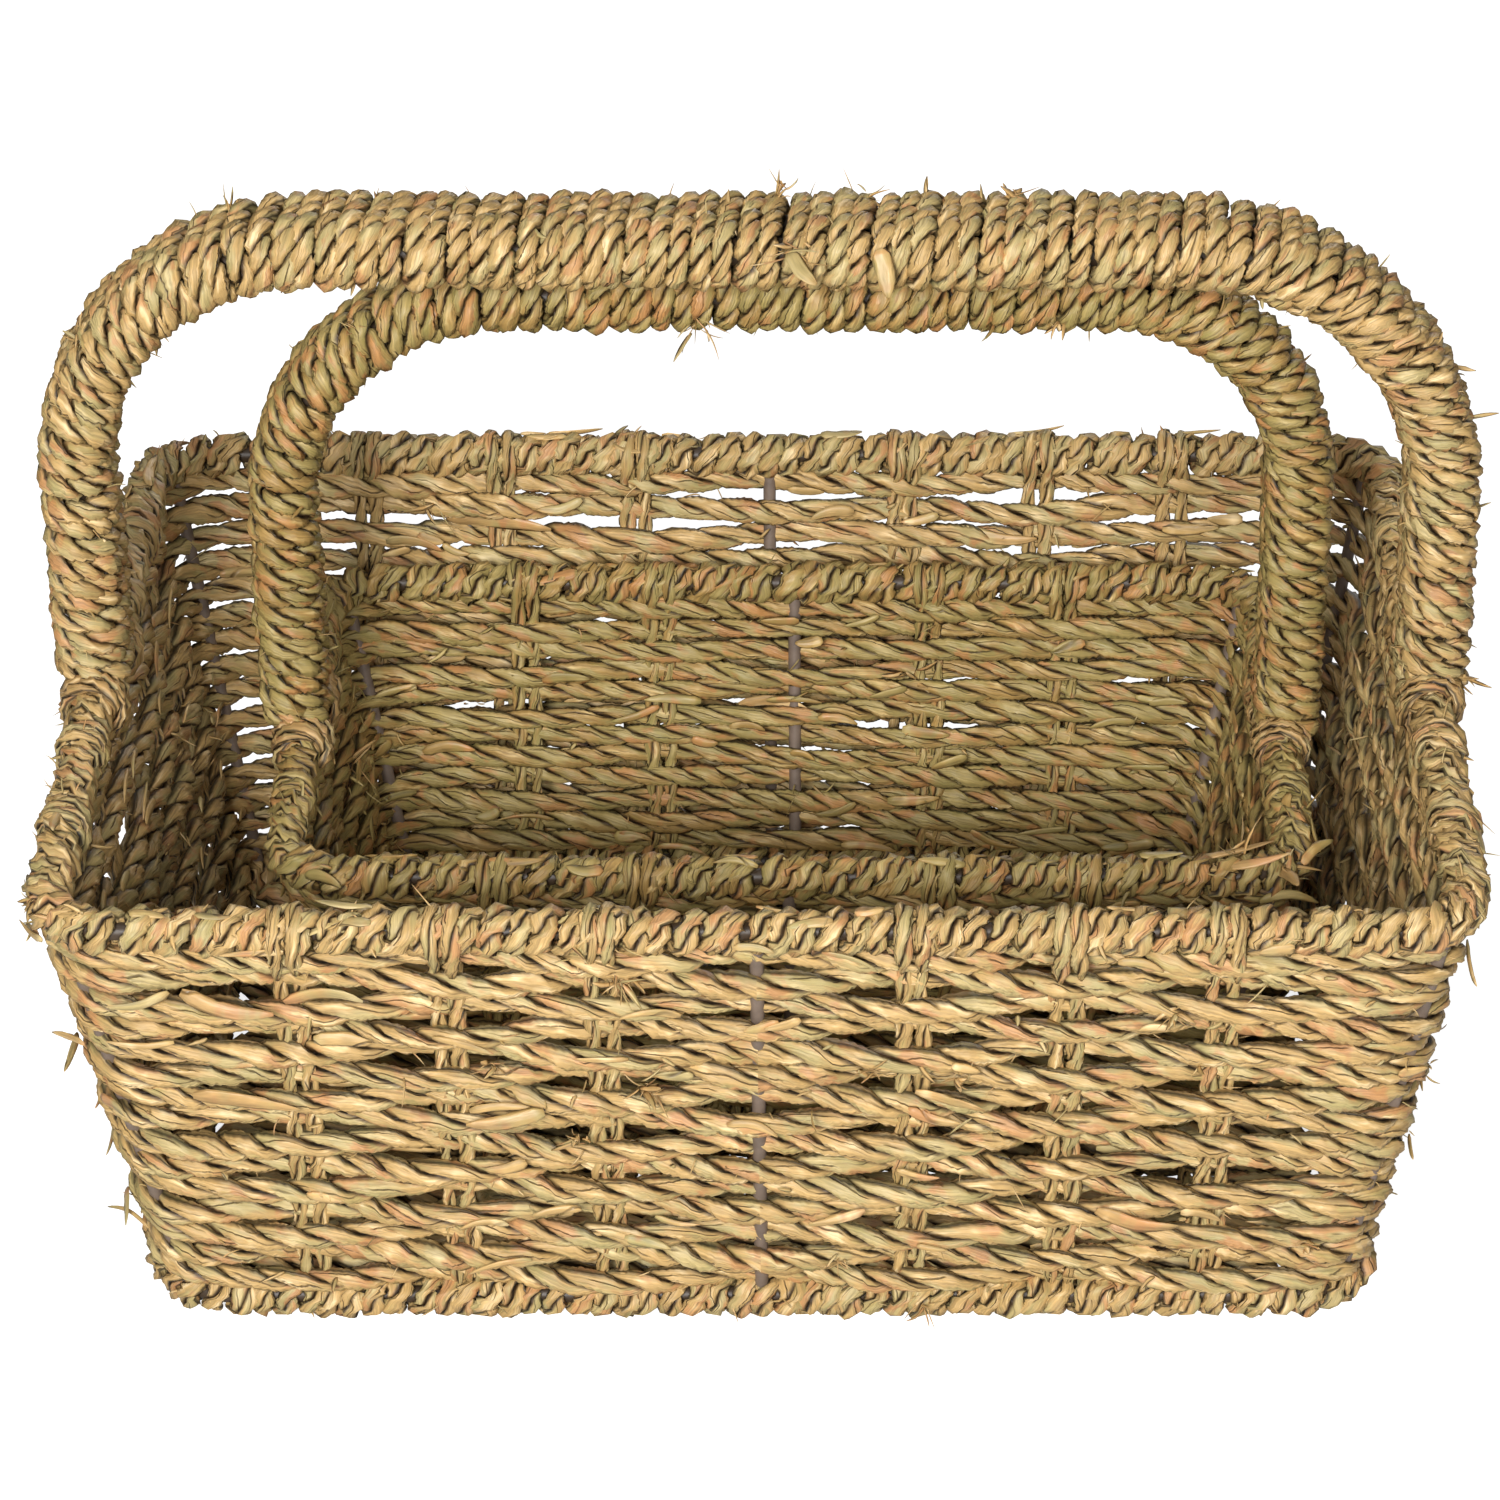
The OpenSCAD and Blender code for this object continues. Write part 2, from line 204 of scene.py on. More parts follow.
def ring_line(half, corner, step):
    """Points, outward normals and lengths along a rounded rectangle, anticlockwise from above,
    starting at the middle of the front. The last point is one step before the first."""
    straight = 2 * (np.asarray(half) - corner)
    arc = corner * math.pi / 2
    total = 2 * straight.sum() + 4 * arc
    count = int(round(total / step))
    s = np.arange(count) * total / count
    points = np.zeros((count, 2))
    normals = np.zeros((count, 2))
    travel = (s + straight[0] / 2) % total
    start = 0.0
    for wall in range(4):
        run = straight[wall % 2]
        way = np.array([math.cos(wall * math.pi / 2), math.sin(wall * math.pi / 2)])
        out = np.array([way[1], -way[0]])
        reach = half[1] if wall % 2 == 0 else half[0]
        on = (travel >= start) & (travel < start + run)
        along = travel[on] - start - run / 2
        points[on] = out * reach + along[:, None] * way
        normals[on] = out
        start += run
        on = (travel >= start) & (travel < start + arc)
        turn = (travel[on] - start) / corner
        hub = out * (reach - corner) + way * run / 2
        normals[on] = out * np.cos(turn)[:, None] + way * np.sin(turn)[:, None]
        points[on] = hub + corner * normals[on]
        start += arc
    return points, normals, s, total


def stake_lengths(basket, half):
    """How far along the ring each upright stands, measured from the middle of the front."""
    straight = 2 * (np.asarray(half) - basket.corner)
    arc = basket.corner * math.pi / 2
    total = 2 * straight.sum() + 4 * arc
    lengths = []
    for wall, place in basket.stakes():
        middle = sum(straight[w % 2] + arc for w in range(wall)) + straight[wall % 2] / 2
        run = straight[wall % 2] / 2 + arc / 2 if place is None else place
        lengths.append(middle - straight[0] / 2 + run)
    return np.array(lengths) % total, total


def hoop_line(basket, step):
    """Points and outward normals up the left leg, over the bar and down the right leg."""
    left, right = basket.bends
    top, foot, span = basket.bar_z, basket.grip_foot, basket.span
    pieces = [("up", top - left - foot), ("left", left * math.pi / 2),
              ("bar", 2 * span - left - right), ("right", right * math.pi / 2),
              ("down", top - right - foot)]
    total = sum(length for _, length in pieces)
    s = np.linspace(0, total, int(round(total / step)) + 1)
    points, normals = np.zeros((len(s), 3)), np.zeros((len(s), 3))
    start = 0.0
    for name, length in pieces:
        on = (s >= start - 1e-9) & (s <= start + length + 1e-9)
        d = s[on] - start
        zero = np.zeros_like(d)
        if name == "up":
            points[on] = np.stack([zero - span, zero, foot + d], 1)
            normals[on] = (-1, 0, 0)
        elif name == "left":
            a = d / left
            normals[on] = np.stack([-np.cos(a), zero, np.sin(a)], 1)
            points[on] = np.array([left - span, 0, top - left]) + left * normals[on]
        elif name == "bar":
            points[on] = np.stack([d + left - span, zero, zero + top], 1)
            normals[on] = (0, 0, 1)
        elif name == "right":
            a = d / right
            normals[on] = np.stack([np.sin(a), zero, np.cos(a)], 1)
            points[on] = np.array([span - right, 0, top - right]) + right * normals[on]
        else:
            points[on] = np.stack([zero + span, zero, top - right - d], 1)
            normals[on] = (1, 0, 0)
        start += length
    return points + np.array([basket.centre[0], basket.centre[1], 0.0]), normals, s, total


# ---- Cord making ----

def wander(rng, count, spacing, closed, width=1):
    """A smooth random line of values between about -1 and 1, with a new value every so many
    points; it meets itself when closed."""
    knots = max(4, int(round(count / max(spacing, 1))))
    values = rng.uniform(-1, 1, (knots + (0 if closed else 1), width))
    t = np.arange(count) / count * knots
    i = np.floor(t).astype(int)
    f = (t - i)[:, None]
    f = f * f * (3 - 2 * f)
    n = len(values)
    return values[i % n] * (1 - f) + values[(i + 1) % n] * f


def unit(v):
    return v / np.maximum(np.linalg.norm(v, axis=-1, keepdims=True), 1e-12)


class CordMesh:
    """Gathers tubes into one mesh with two UV maps. In both, u runs along the ply in metres,
    from a random start, so that no two look alike. In "cord", v goes once round the ply; in
    "grain" it is turned back along the ply, as its blades are, so that they lie straighter."""

    def __init__(self, seed):
        self.rng = np.random.default_rng(seed)
        self.verts, self.faces, self.uvs, self.grain = [], [], [], []
        self.lowest = None
        self.count = 0

    def tube(self, centre, side, up, half_side, half_up, closed, sides, rough=0.07, swirl=None):
        """One ply. side and up span its cross section; v = 0.5 faces along up. swirl is how
        many turns the ply has made at each point."""
        n = len(centre)
        swirl = np.zeros(n) if swirl is None else swirl
        turn = np.arange(sides) / sides * 2 * math.pi + math.pi
        lumps = 1 + rough * (wander(self.rng, n, 3.2, closed, sides)
                             + 0.7 * wander(self.rng, n, 9, closed, sides))
        fold = turn[None, :] + 2 * math.pi * swirl[:, None]
        blades = 1 + 0.09 * np.cos(3 * fold + 2.5 * wander(self.rng, n, 14, closed))
        blades = blades + 0.05 * np.cos(5 * fold + 2.5 * wander(self.rng, n, 9, closed))
        r = lumps * blades
        x = np.sin(turn)[None, :] * r * half_side[:, None]
        y = np.cos(turn)[None, :] * r * half_up[:, None]
        verts = (centre[:, None, :] + side[:, None, :] * x[:, :, None]
                 + up[:, None, :] * y[:, :, None])
        run = np.concatenate([[0], np.cumsum(np.linalg.norm(np.diff(centre, axis=0), axis=1))])
        start = self.rng.uniform(0, 60)
        rings = n if closed else n - 1
        i = np.arange(rings)[:, None]
        j = np.arange(sides)[None, :]
        a = i * sides + j
        b = i * sides + (j + 1) % sides
        c = ((i + 1) % n) * sides + (j + 1) % sides
        d = ((i + 1) % n) * sides + j
        quads = np.stack([a, b, c, d], -1).reshape(-1, 4) + self.count
        u0 = start + run[:rings]
        u1 = u0 + np.append(np.diff(run), run[1])[:rings]
        u0 = np.repeat(u0[:, None], sides, 1)
        u1 = np.repeat(u1[:, None], sides, 1)
        v0 = np.repeat((np.arange(sides) / sides)[None, :], rings, 0)
        v1 = v0 + 1 / sides
        uv = np.stack([np.stack([u0, v0], -1), np.stack([u0, v1], -1),
                       np.stack([u1, v1], -1), np.stack([u1, v0], -1)], 2).reshape(-1, 4, 2)
        s0 = np.repeat(swirl[:rings, None], sides, 1)
        s1 = s0 + np.append(np.diff(swirl), swirl[1] - swirl[0])[:rings, None]
        grain = uv.reshape(rings, sides, 4, 2).copy()
        grain[..., 1] += np.stack([s0, s0, s1, s1], -1)
        self.verts.append(verts.reshape(-1, 3))
        self.faces.append(quads)
        self.uvs.append(uv)
        self.grain.append(grain.reshape(-1, 4, 2))
        first = self.count
        self.count += n * sides
        if not closed:
            self.cap(verts[0], first, start, True)
            self.cap(verts[-1], first + (n - 1) * sides, start + run[-1], False)

    def cap(self, ring, first, u, flip):
        """Closes a tube's end, whose ring starts at vertex first, with a fan round its middle."""
        sides = len(ring)
        self.verts.append(ring.mean(0, keepdims=True))
        middle = self.count
        self.count += 1
        j = np.arange(sides)
        near, far = first + j, first + (j + 1) % sides
        ends = [far, near] if flip else [near, far]
        self.faces.append(np.stack(ends + [np.full(sides, middle)], 1))
        self.uvs.append(np.full((sides, 3, 2), (u, 0.5)))
        self.grain.append(self.uvs[-1].copy())

    def cord(self, path, out, radius, lay, closed=False, flat=1.0, sides=9, taper=0.0,
             rough=0.07):
        """A cord of two plies, twisted along path. out is the outward direction there; flat
        squeezes the cord along it. A closed cord's twist is fitted to whole turns."""
        n = len(path)
        if closed:
            ahead = np.roll(path, -1, 0) - np.roll(path, 1, 0)
            steps = np.linalg.norm(np.roll(path, -1, 0) - path, axis=1)
        else:
            ahead = np.gradient(path, axis=0)
            steps = np.append(np.linalg.norm(np.diff(path, axis=0), axis=1), 0)
        along = unit(ahead)
        across = unit(np.cross(along, out))
        out = np.cross(across, along)
        total = steps.sum()
        turns = max(1, round(total / lay)) if closed else total / lay
        run = np.concatenate([[0], np.cumsum(steps)])[:n]
        phase = 2 * math.pi * turns * run / total + self.rng.uniform(0, 2 * math.pi)
        phase = phase + 0.8 * wander(self.rng, n, 0.8 * lay / (total / n), closed)[:, 0]
        swell = 1 + 0.12 * wander(self.rng, n, 1.5 * lay / (total / n), closed)[:, 0]
        if taper:
            ends = np.minimum(run, total - run) / taper
            swell = swell * np.clip(0.25 + 0.75 * ends, 0.25, 1)
        size = radius * swell
        for ply in (0, 1):
            turn = phase + math.pi * ply
            bulge = 1 + 0.17 * wander(self.rng, n, 0.6 * lay / (total / n), closed)[:, 0]
            c, s = np.cos(turn)[:, None], np.sin(turn)[:, None]
            ray = out * c * flat + across * s
            centre = path + ray * (0.46 * size)[:, None]
            up = unit(ray)
            side = np.cross(along, up)
            squeeze = np.sqrt((c[:, 0] * flat) ** 2 + s[:, 0] ** 2)
            widen = np.sqrt((s[:, 0] * flat) ** 2 + c[:, 0] ** 2)
            self.tube(centre, side, up, 0.80 * size * widen * bulge, 0.58 * size * squeeze * bulge,
                      closed, sides, rough, turn / (2 * math.pi))

    def blade(self, path, out, width, thick, sides=4):
        """A loose flat blade of grass that tapers at both ends."""
        along = unit(np.gradient(path, axis=0))
        across = unit(np.cross(along, out))
        up = np.cross(across, along)
        t = np.linspace(0, 1, len(path))
        shape = np.sqrt(np.clip(np.minimum(t * 6 + 0.25, (1 - t) * 2.2 + 0.04), 0, 1))
        kept = len(self.uvs)
        self.tube(path, across, up, width / 2 * shape, thick / 2 * shape, False, sides, 0.12)
        for layer in (self.uvs, self.grain):
            for uv in layer[kept:]:
                uv[..., 1] = 0.42 + 0.16 * np.clip(uv[..., 1], 0, 1)

    def piece(self, name, basket, slot, *nodes):
        """Makes the Blender object, with its finish, riding on its basket's body."""
        mesh = bpy.data.meshes.new(name)
        verts = np.concatenate(self.verts)
        if self.lowest is not None:
            verts[:, 2] = np.maximum(verts[:, 2], self.lowest)
        quads = [f for f in self.faces if f.shape[1] == 4]
        tris = [f for f in self.faces if f.shape[1] == 3]
        loops = [np.concatenate(quads).ravel()]
        sizes = [np.full(sum(len(f) for f in quads), 4)]
        if tris:
            loops.append(np.concatenate(tris).ravel())
            sizes.append(np.full(sum(len(f) for f in tris), 3))
        loops, sizes = np.concatenate(loops), np.concatenate(sizes)
        mesh.vertices.add(len(verts))
        mesh.vertices.foreach_set("co", verts.astype(np.float32).ravel())
        mesh.loops.add(len(loops))
        mesh.loops.foreach_set("vertex_index", loops.astype(np.int32))
        mesh.polygons.add(len(sizes))
        starts = np.concatenate([[0], np.cumsum(sizes)[:-1]])
        mesh.polygons.foreach_set("loop_start", starts.astype(np.int32))
        mesh.polygons.foreach_set("loop_total", sizes.astype(np.int32))
        mesh.polygons.foreach_set("use_smooth", np.ones(len(sizes), bool))
        mesh.update(calc_edges=True)
        for layer, parts in (("cord", self.uvs), ("grain", self.grain)):
            flat = [u.reshape(-1, 2) for corners in (4, 3) for u in parts if u.shape[1] == corners]
            mesh.uv_layers.new(name=layer).data.foreach_set(
                "uv", np.concatenate(flat).astype(np.float32).ravel())
        mesh.validate()
        made = bpy.data.objects.new(name, mesh)
        bpy.context.scene.collection.objects.link(made)
        made.data.materials.append(bpy.data.materials[GRASS[slot]])
        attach(made, basket.name + "_basket")
        if nodes:
            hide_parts(*nodes)
        triangles = 2 * (sizes == 4).sum() + (sizes == 3).sum()
        print("piece", name, int(triangles), "triangles")
        return made


# ---- Finishes ----

class Nodes:
    """Short calls that add and join shader nodes."""

    def __init__(self, name):
        self.material = bpy.data.materials.new(name)
        self.material.use_nodes = True
        self.tree = self.material.node_tree
        self.shader = self.tree.nodes["Principled BSDF"]

    def add(self, kind, inputs=(), **settings):
        made = self.tree.nodes.new("ShaderNode" + kind)
        for key, value in settings.items():
            setattr(made, key, value)
        for key, value in dict(inputs).items():
            if isinstance(value, bpy.types.NodeSocket):
                self.tree.links.new(value, made.inputs[key])
            else:
                made.inputs[key].default_value = value
        return made

    def maths(self, operation, a, b=0.0):
        return self.add("Math", {0: a, 1: b}, operation=operation).outputs[0]

    def noise(self, vector, scale, detail=2.0, roughness=0.5):
        made = self.add("TexNoise", {"Vector": vector, "Scale": scale, "Detail": detail,
                                     "Roughness": roughness})
        return made.outputs["Fac"]

    def stretch(self, vector, scale):
        made = self.add("Mapping", {"Vector": vector, "Scale": scale})
        return made.outputs["Vector"]

    def ramp(self, factor, *stops):
        made = self.add("ValToRGB", {"Fac": factor})
        marks = made.color_ramp.elements
        while len(marks) < len(stops):
            marks.new(0.5)
        for mark, (place, value) in zip(marks, stops):
            shown = tuple(value)[:3] if hasattr(value, "__len__") else (value,) * 3
            mark.position = place
            mark.color = shown + (1,)
        return made.outputs["Color"]

    def mix(self, factor, a, b, blend="MIX"):
        made = self.tree.nodes.new("ShaderNodeMix")
        made.data_type = "RGBA"
        made.blend_type = blend
        for index, value in ((0, factor), (6, a), (7, b)):
            if isinstance(value, bpy.types.NodeSocket):
                self.tree.links.new(value, made.inputs[index])
            elif index == 0:
                made.inputs[index].default_value = value
            else:
                made.inputs[index].default_value = tuple(value)[:3] + (1,)
        return made.outputs[2]

    def join(self, output, socket):
        self.tree.links.new(output, self.shader.inputs[socket])


def seagrass(name, main, pale, olive, rust, crease_dirt_and_shade, green, red):
    """Dried twisted blades: streaks and stains run along each ply. Painted shade darkens each ply
    where it dips towards its neighbour, and along the sides of each cord, where it touches the
    next. green and red say how much of it is olive and rust."""
    m = Nodes(name)
    uv = m.add("UVMap", uv_map="grain").outputs["UV"]
    round_ply = m.add("UVMap", uv_map="cord").outputs["UV"]
    v = m.add("SeparateXYZ", {"Vector": uv}).outputs["Y"]
    blades = m.noise(m.stretch(uv, (75, 4.5, 1)), 1.0, 2.0, 0.6)
    body = m.ramp(blades, (0.30, [0.5 * (a + b) for a, b in zip(olive, main)]),
                  (0.44, [0.85 * a for a in main]), (0.56, main), (0.70, pale))
    broad = m.noise(m.stretch(uv, (38, 1.5, 1)), 1.0, 3.0, 0.55)
    greens = m.ramp(broad, (0.56 - 0.20 * green, 0.0), (0.63 - 0.20 * green, 1.0))
    body = m.mix(m.maths("MULTIPLY", greens, 0.70), body,
                 m.mix(blades, olive, [0.6 * p + 0.4 * o for p, o in zip(pale, olive)]))
    stains = m.noise(m.stretch(uv, (44, 1.3, 1)), 1.3, 3.0, 0.6)
    reds = m.ramp(stains, (0.62 - 0.12 * red, 0.0), (0.68 - 0.12 * red, 1.0))
    body = m.mix(m.maths("MULTIPLY", reds, 0.85), body,
                 m.mix(blades, rust, [0.6 * r + 0.4 * p for r, p in zip(rust, pale)]))
    fine = m.noise(m.stretch(uv, (60, 26, 1)), 1.0, 3.0, 0.6)
    body = m.mix(0.8, body, m.ramp(fine, (0.30, 0.48), (0.50, 0.95), (0.72, 1.28)), "MULTIPLY")
    bend = m.noise(m.stretch(uv, (28, 0.8, 1)), 1.0, 2.0)
    edges = m.maths("FRACT", m.maths("ADD", m.maths("MULTIPLY", v, 3.0),
                                     m.maths("MULTIPLY", bend, 2.6)))
    edge = m.maths("ABSOLUTE", m.maths("SUBTRACT", edges, 0.5))
    line = m.ramp(edge, (0.0, 1.0), (0.018, 0.85), (0.05, 0.0))
    shown = m.ramp(m.noise(m.stretch(uv, (90, 2.0, 1)), 1.0, 1.0), (0.42, 0.0), (0.55, 1.0))
    line = m.maths("MULTIPLY", line, shown)
    body = m.mix(m.maths("MULTIPLY", line, 0.8), body, crease_dirt_and_shade)
    # Painted shade: each ply is darkened to the dark brown colour where it dips towards the other
    # ply of its cord.
    dip = m.add("SeparateXYZ", {"Vector": round_ply}).outputs["Y"]
    dip = m.maths("ABSOLUTE", m.maths("SUBTRACT", dip, 0.5))
    dip = m.maths("ADD", dip, m.maths("MULTIPLY", m.maths("SUBTRACT", fine, 0.5), 0.08))
    painted_dip_shade = m.ramp(dip, (0.31, 0.0), (0.36, 0.7), (0.39, 1.0))
    body = m.mix(painted_dip_shade, body, crease_dirt_and_shade)
    # Painted shade: the sides of each cord, where it touches its neighbours, are darkened down to
    # a tenth. The faces turned out and in keep their colour.
    facing = m.maths("COSINE", m.maths("MULTIPLY", m.maths("ADD", v, 0.5), 2 * math.pi))
    painted_side_shade = m.ramp(m.maths("ABSOLUTE", facing), (0.0, 0.10), (0.22, 0.42), (0.50, 1.0))
    body = m.mix(1.0, body, painted_side_shade, "MULTIPLY")
    m.join(body, "Base Color")
    m.join(m.ramp(fine, (0.3, 0.60), (0.7, 0.38)), "Roughness")
    m.shader.inputs["Specular IOR Level"].default_value = 0.5
    ridges = m.maths("ADD", m.maths("MULTIPLY", fine, 0.6), m.maths("MULTIPLY", blades, 0.6))
    ridges = m.maths("SUBTRACT", ridges, m.maths("MULTIPLY", line, 0.7))
    bump = m.add("Bump", {"Height": ridges, "Strength": 0.9, "Distance": 0.0008})
    m.join(bump.outputs["Normal"], "Normal")
    return m.material


def painted_wire(name, paint):
    """Satin paint on steel wire, slightly mottled."""
    m = Nodes(name)
    place = m.add("TexCoord").outputs["Object"]
    mottle = m.noise(place, 180.0, 4.0, 0.6)
    m.join(m.mix(m.ramp(mottle, (0.35, 0.0), (0.7, 1.0)), [0.75 * c for c in paint],
                 [1.15 * c for c in paint]), "Base Color")
    m.shader.inputs["Roughness"].default_value = 0.5
    m.shader.inputs["Metallic"].default_value = 0.0
    bump = m.add("Bump", {"Height": m.noise(place, 900.0, 3.0), "Strength": 0.25,
                          "Distance": 0.0003})
    m.join(bump.outputs["Normal"], "Normal")
    return m.material


def shade(base, scale, tint=(1, 1, 1)):
    return [min(1.0, c * scale * t) for c, t in zip(base, tint)]


def sizes():
    return bpy.context.scene.basket_sizes


def colours():
    return bpy.context.scene.basket_colours


# ---- Operators ----

class BASKET_OT_finishes(Operator):
    """Make the grass and paint finishes and paint the wires"""
    bl_idname = "basket.finishes"
    bl_label = "Finishes"

    def execute(self, context):
        c = colours()
        seagrass("straw grass", c.straw, c.pale, c.olive, c.rust, c.crease_dirt_and_shade, 0.25, 0.50)
        seagrass("green grass", shade(c.straw, 0.76, (0.97, 0.93, 0.76)),
                 shade(c.pale, 0.81, (0.98, 0.95, 0.76)), shade(c.olive, 0.80, (1.0, 0.97, 0.76)),
                 c.rust, c.crease_dirt_and_shade, 0.6, 0.60)
        seagrass("brown grass", shade(c.straw, 0.92, (1.02, 0.96, 0.93)), c.pale, c.olive, c.rust,
                 c.crease_dirt_and_shade, 0.15, 0.5)
        paint = painted_wire("taupe paint", c.frame_paint)
        # The wires inside the wraps get the taupe paint darkened to a quarter and browned, as
        # painted shade, so that the gaps between the wraps look dark.
        shade_darkened_paint = painted_wire("stained paint", shade(c.frame_paint, 0.25, (1.1, 0.9, 0.6)))
        for basket in BASKETS:
            for part in WIRES:
                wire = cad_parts[basket + "_" + part]
                wire.data.materials.clear()
                wire.data.materials.append(paint if part in BARE_WIRES else shade_darkened_paint)
        return {"FINISHED"}


def row_cord(basket):
    return sizes().row_cord if basket.name == "outer" else sizes().small_row_cord


class EachBasket:
    """Runs an operator's make(basket, index) on both baskets."""

    def execute(self, context):
        for index, name in enumerate(BASKETS):
            self.make(Basket(name), index)
        return {"FINISHED"}


class BASKET_OT_walls(EachBasket, Operator):
    """Weave the rows of both walls, each in front of one upright and behind the next"""
    bl_idname = "basket.walls"
    bl_label = "Woven walls"

    def make(self, basket, index):
        name = basket.name
        rows = sizes().rows if name == "outer" else sizes().small_rows
        bands = ROW_PIECES[name]
        radius = row_cord(basket) / 2
        low = basket.wall_low + 0.55 * radius
        high = basket.wall_high - 0.55 * radius
        for band in range(bands):
            made = CordMesh(100 + 10 * index + band)
            for row in range(band * rows // bands, (band + 1) * rows // bands):
                z = low + (high - low) * row / (rows - 1)
                self.weave_row(made, basket, z, row, radius, rows)
            nodes = [name + "_woven_wall"] if band == 0 else []
            made.piece("%s_rows_%d" % (name, band + 1), basket, SLOT[name], *nodes)

    def weave_row(self, made, basket, z, row, radius, rows):
        half = basket.half_at(z)
        flat_points, flat_out, s, total = ring_line(half, basket.corner, ROW_STEP)
        stakes, _ = stake_lengths(basket, half)
        n = len(s)
        order = np.argsort(stakes)
        marks = stakes[order]
        signs = np.where((order + row) % 2 == 0, 1.0, -1.0)
        rng = made.rng
        signs = signs * rng.uniform(0.75, 1.12, len(signs)) * SWING[basket.name]
        bare = np.array([place is None for _, place in basket.stakes()])[order]
        middle = np.array([place == 0 for _, place in basket.stakes()])[order]
        signs = np.where(bare, 0.0004 + 0.15 * signs, signs)
        signs = np.where((signs < 0) & middle, 0.75 * signs, signs)
        ends = np.concatenate([[marks[-1] - total], marks, [marks[0] + total]])
        values = np.concatenate([[signs[-1]], signs, [signs[0]]])
        k = np.clip(np.searchsorted(ends, s, side="right") - 1, 0, len(ends) - 2)
        t = (s - ends[k]) / (ends[k + 1] - ends[k])
        t = 0.5 - 0.5 * np.cos(math.pi * np.clip((t - 0.12) / 0.76, 0, 1))
        weave = values[k] * (1 - t) + values[k + 1] * t
        step = total / n
        stray = STRAY if 0 < row < rows - 1 else EDGE_STRAY
        rise = stray * wander(rng, n, 0.055 / step, True)[:, 0]
        rise += 0.0005 * wander(rng, n, 0.02 / step, True)[:, 0]
        weave += 0.0005 * wander(rng, n, 0.03 / step, True)[:, 0]
        lean = basket.lean()
        tilt = unit(np.concatenate([flat_out, np.full((n, 1), -lean)], 1))
        slope = unit(np.concatenate([flat_out * lean, np.ones((n, 1))], 1))
        path = np.concatenate([flat_points + basket.centre[:2], np.full((n, 1), z)], 1)
        path = path + tilt * weave[:, None] + slope * rise[:, None]
        lay = sizes().twist * (1.0 if basket.name == "outer" else SMALL_TWIST)
        made.cord(path, tilt, radius, lay * rng.uniform(0.9, 1.12), closed=True, flat=0.85,
                  sides=12)


class BASKET_OT_uprights(EachBasket, Operator):
    """Stand the pairs of upright cords in the walls and loop them over the rims"""
    bl_idname = "basket.uprights"
    bl_label = "Upright cords"

    def make(self, basket, index):
        name = basket.name
        made = CordMesh(200 + index)
        for wall, place in basket.stakes():
            if place is None or (place == 0 and wall % 2 == 0):
                continue
            for cord in (-1, 1):
                self.stand(made, basket, wall, place + cord * PAIR_GAP)
        made.piece(name + "_uprights", basket, SLOT[name], name + "_warp_cords")

    def stand(self, made, basket, wall, place):
        """From the floor up the middle of the wall, over the rim and down to the second row."""
        way = np.array([math.cos(wall * math.pi / 2), math.sin(wall * math.pi / 2), 0])
        out = np.array([way[1], -way[0], 0])
        rng = made.rng

        def reach(z):
            return basket.half_at(z)[1 - wall % 2]

        radius = sizes().upright_cord / 2
        foot, shoulder = basket.base_z + 0.002, basket.rim_z - 0.017
        spots = [(reach(z), z) for z in np.linspace(foot, shoulder, 24)]
        roll = basket.rim_roll + 0.1 * radius
        hub = (reach(basket.rim_z), basket.rim_z)
        for a in np.radians(np.linspace(235, -35, 20)):
            spots.append((hub[0] + roll * math.cos(a), hub[1] + roll * math.sin(a)))
        drop = rng.uniform(0.006, 0.014)
        for t in np.linspace(0.3, 1, 5):
            z = basket.rim_z - basket.rim_roll * 0.6 - drop * t
            spots.append((reach(z) + 0.0062 - 0.0022 * t, z))
        spots = np.array(spots)
        points = out * spots[:, :1] + UP * spots[:, 1:] + way * place
        points[:, :2] += basket.centre[:2]
        points = resample(points, 0.0022, 3)
        shift = 0.0006 * wander(rng, len(points), 9, False)[:, 0]
        points = points + way * shift[:, None]
        ahead = unit(np.gradient(points, axis=0))
        normal = np.cross(way, ahead)
        made.cord(points, normal, radius * rng.uniform(0.85, 1.1), UPRIGHT_TWIST, flat=0.62,
                  sides=8, taper=0.006)


def resample(points, step, smooth=0):
    """Evenly spaced points along a polyline, with its corners rounded off."""
    run = np.concatenate([[0], np.cumsum(np.linalg.norm(np.diff(points, axis=0), axis=1))])
    count = max(4, int(round(run[-1] / step)) + 1)
    at = np.linspace(0, run[-1], count)
    even = np.stack([np.interp(at, run, points[:, i]) for i in range(3)], 1)
    for _ in range(smooth):
        even[1:-1] = 0.25 * even[:-2] + 0.5 * even[1:-1] + 0.25 * even[2:]
    return even


def wrap_ring(made, basket, half, z, roll, core):
    """Cord wound round a wire ring."""
    pitch = sizes().rim_pitch
    flat_points, flat_out, s, total = ring_line(half, basket.corner, 0.0003)
    turns = int(round(total / pitch))
    middle = 0.47 * (roll + core)
    thick = 0.44 * (roll - core)
    samples = turns * RING_POINTS
    rng = made.rng
    at = np.arange(samples) / samples * total
    at = at + 0.30 * pitch * wander(rng, samples, 13, True)[:, 0]
    turn = 2 * math.pi * np.arange(samples) / RING_POINTS
    pick = (np.round(at / total * len(s)).astype(int)) % len(s)
    centre = np.concatenate([flat_points[pick] + basket.centre[:2], np.full((samples, 1), z)], 1)
    out = np.concatenate([flat_out[pick], np.zeros((samples, 1))], 1)
    ray = out * np.cos(turn)[:, None] + UP * np.sin(turn)[:, None]
    reach = middle * (1 + 0.05 * wander(rng, samples, 10, True)[:, 0])
    path = centre + ray * reach[:, None]
    radius = pitch * 0.62
    made.cord(path, ray, radius, RING_TWIST, closed=True, flat=thick / radius * 1.12, sides=10,
              rough=0.11)


